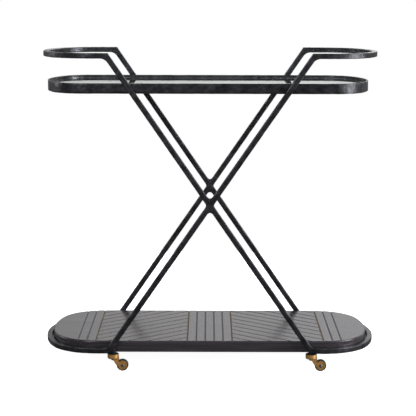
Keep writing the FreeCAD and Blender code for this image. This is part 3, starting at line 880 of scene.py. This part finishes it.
@dataclass
class WroughtHoop:
    """One closed Z-shaped hoop: a handle at one end, a foot at the other, two legs between.

    The section is a forged square. Its four bends are mitred, sharp outside and
    dressed to a radius inside.
    """

    end: End
    iron: bpy.types.Material
    hammering: bpy.types.GeometryNodeTree
    end_radius: float = 0.335
    corner_radius: float = 0.144
    dressed_radius: float = 0.026
    edge_radius: float = 0.0027
    mitre_reach: float = 0.024
    step: float = 0.0038
    blow_size: float = 0.016
    blow_depth: float = 0.00055
    smooth_below: float = math.radians(48)

    def __post_init__(self) -> None:
        """Reads the hoop's places from its CAD nodes."""
        left = self.end is End.LEFT
        handle, foot = ("left", "right") if left else ("right", "left")
        self.name = f"{handle}_wrought_hoop"
        self.legs = [f"{row}_{foot}_leg" for row in ("front", "rear")]
        self.nodes = [f"{handle}_handle_loop", f"{foot}_foot_loop", *self.legs]
        top_low, top_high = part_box(self.nodes[0])
        foot_low, foot_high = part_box(self.nodes[1])
        self.half_bar = (top_high.z - top_low.z) / 2
        self.top = (top_high.z + top_low.z) / 2
        self.bottom = (foot_high.z + foot_low.z) / 2
        reach = max(abs(top_low.x), abs(top_high.x))
        self.plan = RoundedPlan(reach, top_high.y, self.end_radius, self.corner_radius).inset(
            self.half_bar
        )
        # A leg's box reaches past the bend by the mitre, which depends on the bend, so
        # the bend is found by repeating.
        leg_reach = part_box(self.legs[0])[1].x
        self.bend = leg_reach
        for _ in range(12):
            half_turn = math.atan2(self.top - self.bottom, 2 * self.bend)
            self.bend = leg_reach - self.half_bar * math.tan(half_turn / 2)

    def build(self) -> bpy.types.Object:
        """Builds the hoop and lets it stand for its CAD nodes.

        Returns:
            The finished piece.
        """
        mesh = self._sweep()
        piece = mesh_object(self.name, mesh, self.iron)
        values = {
            "Blow Size": self.blow_size,
            "Blow Depth": self.blow_depth,
            "Seed": 3 if self.end is End.LEFT else 8,
        }
        run_tree(piece, self.hammering, values)
        piece.data.set_sharp_from_angle(angle=self.smooth_below)
        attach(piece, CART)
        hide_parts(*self.nodes)
        log.info("%s: %d faces", self.name, len(piece.data.polygons))
        return piece

    def _section(self) -> np.ndarray:
        """Walks round the square section with its eased edges.

        Returns:
            For each point its place out and up, and how worn it is, from zero to one.
        """
        half, ease = self.half_bar, self.edge_radius
        flat = half - ease
        points = []
        for quarter in range(4):
            turn = np.array(
                [[math.cos(quarter * math.pi / 2), -math.sin(quarter * math.pi / 2)],
                 [math.sin(quarter * math.pi / 2), math.cos(quarter * math.pi / 2)]]
            )
            for share in (-0.75, -0.25, 0.25, 0.75):
                points.append([*(turn @ (half, share * flat)), 0.0])
            for angle in np.linspace(0, math.pi / 2, 5):
                corner = (flat + ease * math.cos(angle), flat + ease * math.sin(angle))
                points.append([*(turn @ corner), math.sin(2 * angle)])
        return np.array(points)

    def _stations(self) -> list[tuple[np.ndarray, np.ndarray, np.ndarray]]:
        """Walks the hoop once round.

        Returns:
            At each station the centre, the outward direction and the section's up
            direction, level on the loops and square to the bar on the legs.
        """
        handle = float(self.end.value)
        plan, out = self.plan.end(self.bend, self.step)
        flat = np.array((0.0, 0.0, 1.0))
        stations = []
        for side, height in ((handle, self.top), (-handle, self.bottom)):
            order = slice(None) if side == handle else slice(None, None, -1)
            for point, direction in zip(plan[order], out[order]):
                centre = np.array((side * point[0], point[1], height))
                stations.append((centre, np.array((side * direction[0], direction[1], 0.0)), flat))
            row = 1.0 if side == handle else -1.0
            first = np.array((side * self.bend, row * self.plan.half_depth, height))
            last = np.array((-side * self.bend, first[1], self.top + self.bottom - height))
            along = (last - first) / np.linalg.norm(last - first)
            up = np.array((-along[2], 0.0, along[0]))
            up *= np.sign(up[2])
            count = math.ceil(np.linalg.norm(last - first) / self.step)
            for share in np.linspace(0, 1, count + 1)[1:-1]:
                centre = first + share * (last - first)
                stations.append((centre, np.array((0.0, row, 0.0)), up))
        return stations

    def _sweep(self) -> bpy.types.Mesh:
        """Sweeps the section round the hoop and closes it on itself.

        Returns:
            The closed mesh, before it is hammered.
        """
        section = self._section()
        stations = self._stations()
        vertices = np.array(
            [[c + a * out + b * up for a, b, _ in section] for c, out, up in self._mitred(stations)]
        )
        self._dress_bends(vertices, section)
        rings, points = vertices.shape[:2]
        index = np.arange(rings * points).reshape(rings, points)
        ahead = np.roll(index, -1, 0)
        quads = np.stack(
            [index, np.roll(index, -1, 1), np.roll(ahead, -1, 1), ahead], -1
        ).reshape(-1, 4)
        mesh = bpy.data.meshes.new(self.name)
        mesh.from_pydata(vertices.reshape(-1, 3).tolist(), [], quads.tolist())
        edge = mesh.attributes.new("edge", "FLOAT", "POINT")
        edge.data.foreach_set("value", np.tile(section[:, 2], rings).astype(np.float32))
        turn_outwards(mesh)
        return mesh

    def _mitred(self, stations: list) -> list:
        """Leans the sections near each bend until the one at the bend is its mitre.

        Args:
            stations: The hoop's stations, each with its centre and two directions.

        Returns:
            The same stations with their up directions leaned.
        """
        level = np.array((0.0, 0.0, 1.0))
        result = []
        for centre, out, up in stations:
            lean = np.array((0.0, 0.0, 0.0))
            for side, height in ((1, self.top), (1, self.bottom), (-1, self.top), (-1, self.bottom)):
                on_path = (height == self.top) == (side == self.end.value)
                corner = np.array((side * self.bend, centre[1], height))
                gap = np.linalg.norm(corner - centre)
                straight = abs(centre[1]) > self.plan.half_depth - TOUCHING
                if not on_path or gap > self.mitre_reach or not straight:
                    continue
                leg = self._leg_up()
                mitre = (leg + level) / (1 + leg @ level)
                lean = (mitre - up) * (1 - gap / self.mitre_reach)
            result.append((centre, out, up + lean))
        return result

    def _leg_up(self) -> np.ndarray:
        """Gives the up direction of the section on a leg.

        Returns:
            A unit vector square to the leg, pointing upwards.
        """
        run = 2 * self.bend * -self.end.value
        along = np.array((run, 0.0, self.bottom - self.top))
        along /= np.linalg.norm(along)
        up = np.array((-along[2], 0.0, along[0]))
        return up * np.sign(up[2])

    def _dress_bends(self, vertices: np.ndarray, section: np.ndarray) -> None:
        """Moves the inside of each bend out to the arc of its dressed weld.

        Args:
            vertices: The swept rings, changed in place.
            section: The section's points.
        """
        handle = float(self.end.value)
        leg_up = self._leg_up()
        level = np.array((0.0, 0.0, 1.0))
        mitre = (leg_up + level) / (1 + leg_up @ level)
        for side, height, inner in ((handle, self.top, -1), (-handle, self.bottom, 1)):
            corner = np.array((side * self.bend, 0.0, height)) + inner * self.half_bar * mitre
            centre = corner + inner * self.dressed_radius * mitre
            for k, (_, b, _) in enumerate(section):
                # The outer side stays put, and the inner face follows the arc in full.
                share = np.clip((inner * b / self.half_bar - 0.4) / 0.4, 0, 1)
                if share == 0:
                    continue
                column = vertices[:, k]
                # The point of the inner face abreast of this one.
                face = column + (inner * self.half_bar - b) * level
                flat = face - centre
                flat[:, 1] = 0
                gap = np.linalg.norm(flat, axis=1)
                straight = np.abs(np.abs(column[:, 1]) - self.plan.half_depth) < 2 * self.half_bar
                facing = flat @ (-inner * mitre) / np.linalg.norm(mitre) / np.maximum(gap, 1e-9)
                near = straight & (gap > self.dressed_radius) & (facing > 1 / np.linalg.norm(mitre))
                move = -flat * (1 - self.dressed_radius / np.maximum(gap, 1e-9))[:, None]
                column[near] += share * move[near]


def turn_outwards(mesh: bpy.types.Mesh) -> None:
    """Merges a closed mesh's doubles and turns its faces outwards.

    Args:
        mesh: The mesh, changed in place.
    """
    shape = bmesh.new()
    shape.from_mesh(mesh)
    bmesh.ops.remove_doubles(shape, verts=shape.verts, dist=TOUCHING)
    bmesh.ops.recalc_face_normals(shape, faces=shape.faces)
    shape.to_mesh(mesh)
    shape.free()
    mesh.update()


@dataclass
class Tray:
    """The tray: a hammered flat-bar rim, a ledge, vinyl dots and a sheet of glass."""

    palette: Palette
    hammering: bpy.types.GeometryNodeTree
    end_radius: float = 0.372
    corner_radius: float = 0.098
    rim_thickness: float = 0.005
    edge_radius: float = 0.0007
    step: float = 0.004
    blow_size: float = 0.017
    blow_depth: float = 0.0007

    def build(self) -> None:
        """Builds the rim and dresses the rest of the tray."""
        low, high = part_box("tray_rim")
        middle = (low.x + high.x) / 2
        outer = RoundedPlan(high.x - middle, high.y, self.end_radius, self.corner_radius)
        plan, _ = outer.inset(self.rim_thickness / 2).end(0.0, self.step)
        loop = np.concatenate([plan, -plan[1:-1]]) + (middle, 0.0)
        height = (low.z + high.z) / 2
        mesh = bpy.data.meshes.new("tray_rim_bar")
        count = len(loop)
        mesh.from_pydata(
            [(x, y, height) for x, y in loop], [(i, (i + 1) % count) for i in range(count)], []
        )
        rim = mesh_object("tray_rim_bar", mesh, self.palette.iron)
        values = {
            "Bar Height": high.z - low.z,
            "Bar Thickness": self.rim_thickness,
            "Edge Radius": self.edge_radius,
        }
        run_tree(rim, rim_tree(self.palette.iron), values)
        turn_outwards(rim.data)
        run_tree(
            rim,
            self.hammering,
            {"Blow Size": self.blow_size, "Blow Depth": self.blow_depth, "Seed": 5},
        )
        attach(rim, CART)
        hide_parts("tray_rim")
        log.info("tray_rim_bar: %d faces", len(rim.data.polygons))
        dress_node("tray_glass_ledge", self.palette.coated)
        dress_node("tray_glass", self.palette.glass)
        dress_node("glass_bumpers", self.palette.vinyl)


@dataclass
class Shelf:
    """The shelf: a grooved board on steel bearers and ledges, held by screws from below."""

    palette: Palette
    end_radius: float = 0.399
    corner_radius: float = 0.13
    edge_radius: float = 0.0045
    groove_depth: float = 0.003

    def build(self) -> None:
        """Builds the board and dresses its bearers, ledges and screws."""
        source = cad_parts["shelf_board"]
        mesh = source.data.copy()
        mesh.name = "grooved_oak_board"
        turn_outwards(mesh)
        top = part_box("shelf_board")[1].z
        places = np.array([v.co for v in mesh.vertices])
        depth = np.clip((top - places[:, 2]) / self.groove_depth, 0, 1)
        inside = self._inside(places)
        groove = mesh.attributes.new("groove", "FLOAT", "POINT")
        groove.data.foreach_set("value", (depth * inside).astype(np.float32))
        mesh.shade_flat()
        board = mesh_object("grooved_oak_board", mesh, self.palette.oak)
        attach(board, CART)
        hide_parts("shelf_board")
        log.info("grooved_oak_board: %d faces", len(mesh.polygons))
        for node in ("left_shelf_bearer", "right_shelf_bearer", "shelf_ledges"):
            dress_node(node, self.palette.coated)
        dress_node("shelf_screws", self.palette.zinc)

    def _inside(self, places: np.ndarray) -> np.ndarray:
        """Tells which points lie inside the board's rounded edge.

        Args:
            places: The board's points.

        Returns:
            One for a point inside the edge, zero for a point on it.
        """
        low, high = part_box("shelf_board")
        plan = RoundedPlan(high.x, high.y, self.end_radius, self.corner_radius)
        x, y = np.abs(places[:, 0]), np.abs(places[:, 1])
        centre_x, centre_y = plan.corner_centre()
        edge = self.edge_radius + 0.0005
        in_side = y < plan.half_depth - edge
        in_end = np.hypot(x - (plan.half_length - plan.end_radius), y) < plan.end_radius - edge
        corner = (x > centre_x) & (y > centre_y)
        in_corner = np.hypot(x - centre_x, y - centre_y) < plan.corner_radius - edge
        return np.where(corner, in_corner, in_side & in_end).astype(float)


@dataclass
class Welds:
    """The welds: webs at the two crossings, and beads where the bearers meet the foot loops."""

    palette: Palette
    bead_radius: float = 0.002
    pitch: float = 0.0016

    def build(self) -> None:
        """Dresses the webs and lays the beads."""
        for node in ("front_cross_weld", "rear_cross_weld"):
            dress_node(node, self.palette.iron)
        seams = self._bearer_seams()
        mesh = bpy.data.meshes.new("weld_beads")
        points = [point for seam in seams for point in seam]
        mesh.from_pydata(points, [(2 * i, 2 * i + 1) for i in range(len(seams))], [])
        beads = mesh_object("weld_beads", mesh, self.palette.iron)
        values = {"Bead Radius": self.bead_radius, "Pitch": self.pitch, "Seed": 4}
        run_tree(beads, bead_tree(self.palette.iron), values)
        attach(beads, CART)
        log.info("weld_beads: %d seams", len(seams))

    def _bearer_seams(self) -> list[tuple]:
        """Finds the seams between the bearers and the foot loops.

        Returns:
            The two ends of each seam.
        """
        seams = []
        for node in ("left_shelf_bearer", "right_shelf_bearer"):
            low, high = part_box(node)
            for y in (low.y, high.y):
                seams.append(((low.x, y, low.z), (high.x, y, low.z)))
        return seams


@dataclass
class Caster:
    """One swivel caster: a brass fork and wheel on a plated stem, under the foot loop."""

    corner: Corner
    palette: Palette

    def build(self) -> None:
        """Dresses the caster's nodes."""
        finishes = {
            "boss": self.palette.iron,
            "stem": self.palette.zinc,
            "washer": self.palette.oxide,
            "nut": self.palette.oxide,
            "fork": self.palette.brass,
            "axle": self.palette.steel,
            "wheel": self.palette.brass,
            "tyre": self.palette.rubber,
        }
        for part, material in finishes.items():
            node = f"{self.corner.value}_caster_{part}"
            # Only the casters on the left stand clear of their bar and need a boss.
            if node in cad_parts:
                dress_node(node, material)


# Each soft box: where it hangs, the length of its side, and its power in watts.
SOFT_BOXES = {
    "key_soft_box": ((-1.9, -3.7, 2.4), 1.5, 95.0),
    "side_soft_box": ((3.1, -1.1, 1.0), 1.9, 170.0),
    "far_soft_box": ((-3.3, 0.9, 1.3), 1.2, 22.0),
    "back_soft_box": ((0.5, 3.0, 2.8), 2.4, 60.0),
}


@dataclass
class Studio:
    """The studio: a pale floor, a soft surround, soft boxes and the camera."""

    centre: Vector = field(default_factory=lambda: Vector((0.0, 0.0, 0.45)))
    floor_half: float = 1.7
    camera_place: tuple = (-0.0049, -4.2776, 1.0947)
    camera_yaw: float = math.radians(-0.012)
    camera_pitch: float = math.radians(8.656)
    camera_roll: float = math.radians(0.128)
    lens: float = 125.13

    def build(self) -> None:
        """Builds the floor, the light and the camera."""
        self._floor()
        self._surround()
        for name, (place, size, watts) in SOFT_BOXES.items():
            self._soft_box(name, place, size, watts)
        self._camera()
        bpy.context.scene.view_settings.view_transform = "Standard"
        log.info("studio: floor, surround, %d soft boxes, camera", len(SOFT_BOXES))

    def _floor(self) -> None:
        """Lays an opal acrylic floor, lit from below, so that shadows stay faint."""
        half = self.floor_half
        mesh = bpy.data.meshes.new("floor")
        mesh.from_pydata(
            [(-half, -half, 0), (half, -half, 0), (half, half, 0), (-half, half, 0)], [], [(0, 1, 2, 3)]
        )
        material, tree = blank_material("opal_acrylic")
        shader = add_node(
            tree,
            "ShaderNodeBsdfPrincipled",
            {
                "Base Color": linear("#e6e6e6"),
                "Roughness": 0.9,
                "Specular IOR Level": 0.0,
                "Emission Color": linear("#ffffff"),
                "Emission Strength": 0.93,
            },
        )
        close_material(tree, shader)
        floor = mesh_object("floor", mesh, material)
        # The floor takes shadows, and the surround stands in for it in the light on the cart.
        floor.visible_glossy = False
        floor.visible_diffuse = False

    def _surround(self) -> None:
        """Wraps the scene in white that is brightest in a band just above the horizon."""
        world = bpy.data.worlds.new("studio_surround")
        world.use_nodes = True
        tree = world.node_tree
        tree.nodes.clear()
        facing = add_node(tree, "ShaderNodeTexCoord").outputs["Generated"]
        sides = add_node(tree, "ShaderNodeSeparateXYZ", {0: facing})
        height = sides.outputs["Z"]
        rising = add_node(
            tree,
            "ShaderNodeMapRange",
            {"Value": height, "From Min": -0.01, "From Max": 0.09, "To Min": 0.22, "To Max": 0.95},
        )
        falling = add_node(
            tree,
            "ShaderNodeMapRange",
            {"Value": height, "From Min": 0.25, "From Max": 0.6, "To Min": 1.0, "To Max": 0.3},
        )
        band = add_node(
            tree, "ShaderNodeMath", {0: rising.outputs[0], 1: falling.outputs[0]}, operation="MULTIPLY"
        )
        # The backdrop is a little dimmer on the left than on the right.
        across = add_node(
            tree,
            "ShaderNodeMapRange",
            {
                "Value": sides.outputs["X"],
                "From Min": -0.16,
                "From Max": 0.1,
                "To Min": 0.74,
                "To Max": 1.02,
            },
        )
        uneven = add_node(
            tree, "ShaderNodeMath", {0: band.outputs[0], 1: across.outputs[0]}, operation="MULTIPLY"
        )
        # Seen directly or through the glass, the surround is plain white.
        ray = add_node(tree, "ShaderNodeLightPath").outputs
        seen = add_node(
            tree,
            "ShaderNodeMath",
            {0: ray["Is Camera Ray"], 1: ray["Is Transmission Ray"]},
            operation="MAXIMUM",
        )
        strength = add_node(
            tree, "ShaderNodeMath", {0: uneven.outputs[0], 1: seen.outputs[0]}, operation="MAXIMUM"
        )
        background = add_node(
            tree,
            "ShaderNodeBackground",
            {"Color": linear("#ffffff"), "Strength": strength.outputs[0]},
        )
        add_node(tree, "ShaderNodeOutputWorld", {"Surface": background.outputs[0]})
        bpy.context.scene.world = world

    def _soft_box(self, name: str, place: tuple, size: float, watts: float) -> None:
        """Hangs a square soft box that faces the cart.

        Args:
            name: The light's name.
            place: Where it hangs.
            size: Its side.
            watts: Its power.
        """
        light = bpy.data.lights.new(name, "AREA")
        light.size = size
        light.energy = watts
        box = bpy.data.objects.new(name, light)
        box.location = place
        box.rotation_euler = (self.centre - Vector(place)).to_track_quat("-Z", "Y").to_euler()
        box.visible_camera = False
        bpy.context.scene.collection.objects.link(box)

    def _camera(self) -> None:
        """Sets up the camera, a little above the handles and looking slightly down."""
        yaw, pitch, roll = self.camera_yaw, self.camera_pitch, self.camera_roll
        forward = Vector(
            (math.sin(yaw) * math.cos(pitch), math.cos(yaw) * math.cos(pitch), -math.sin(pitch))
        )
        level = Vector((math.cos(yaw), -math.sin(yaw), 0.0))
        above = level.cross(forward)
        right = math.cos(roll) * level + math.sin(roll) * above
        up = right.cross(forward)
        turn = Matrix((right, up, -forward)).transposed()
        lens = bpy.data.cameras.new("camera")
        lens.lens = self.lens
        lens.sensor_width = 36.0
        lens.clip_end = 60.0
        camera = bpy.data.objects.new("camera", lens)
        camera.matrix_world = Matrix.Translation(self.camera_place) @ turn.to_4x4()
        bpy.context.scene.collection.objects.link(camera)
        bpy.context.scene.camera = camera


def main() -> None:
    """Builds the cart's pieces in order, then the studio."""
    logging.basicConfig(level=logging.INFO, format="%(name)s: %(message)s")
    palette = Palette()
    hammering = hammering_tree(palette.iron)
    for end in End:
        WroughtHoop(end, palette.iron, hammering).build()
    Tray(palette, hammering).build()
    Shelf(palette).build()
    Welds(palette).build()
    for corner in Corner:
        Caster(corner, palette).build()
    Studio().build()


if __name__ == "__main__":
    main()
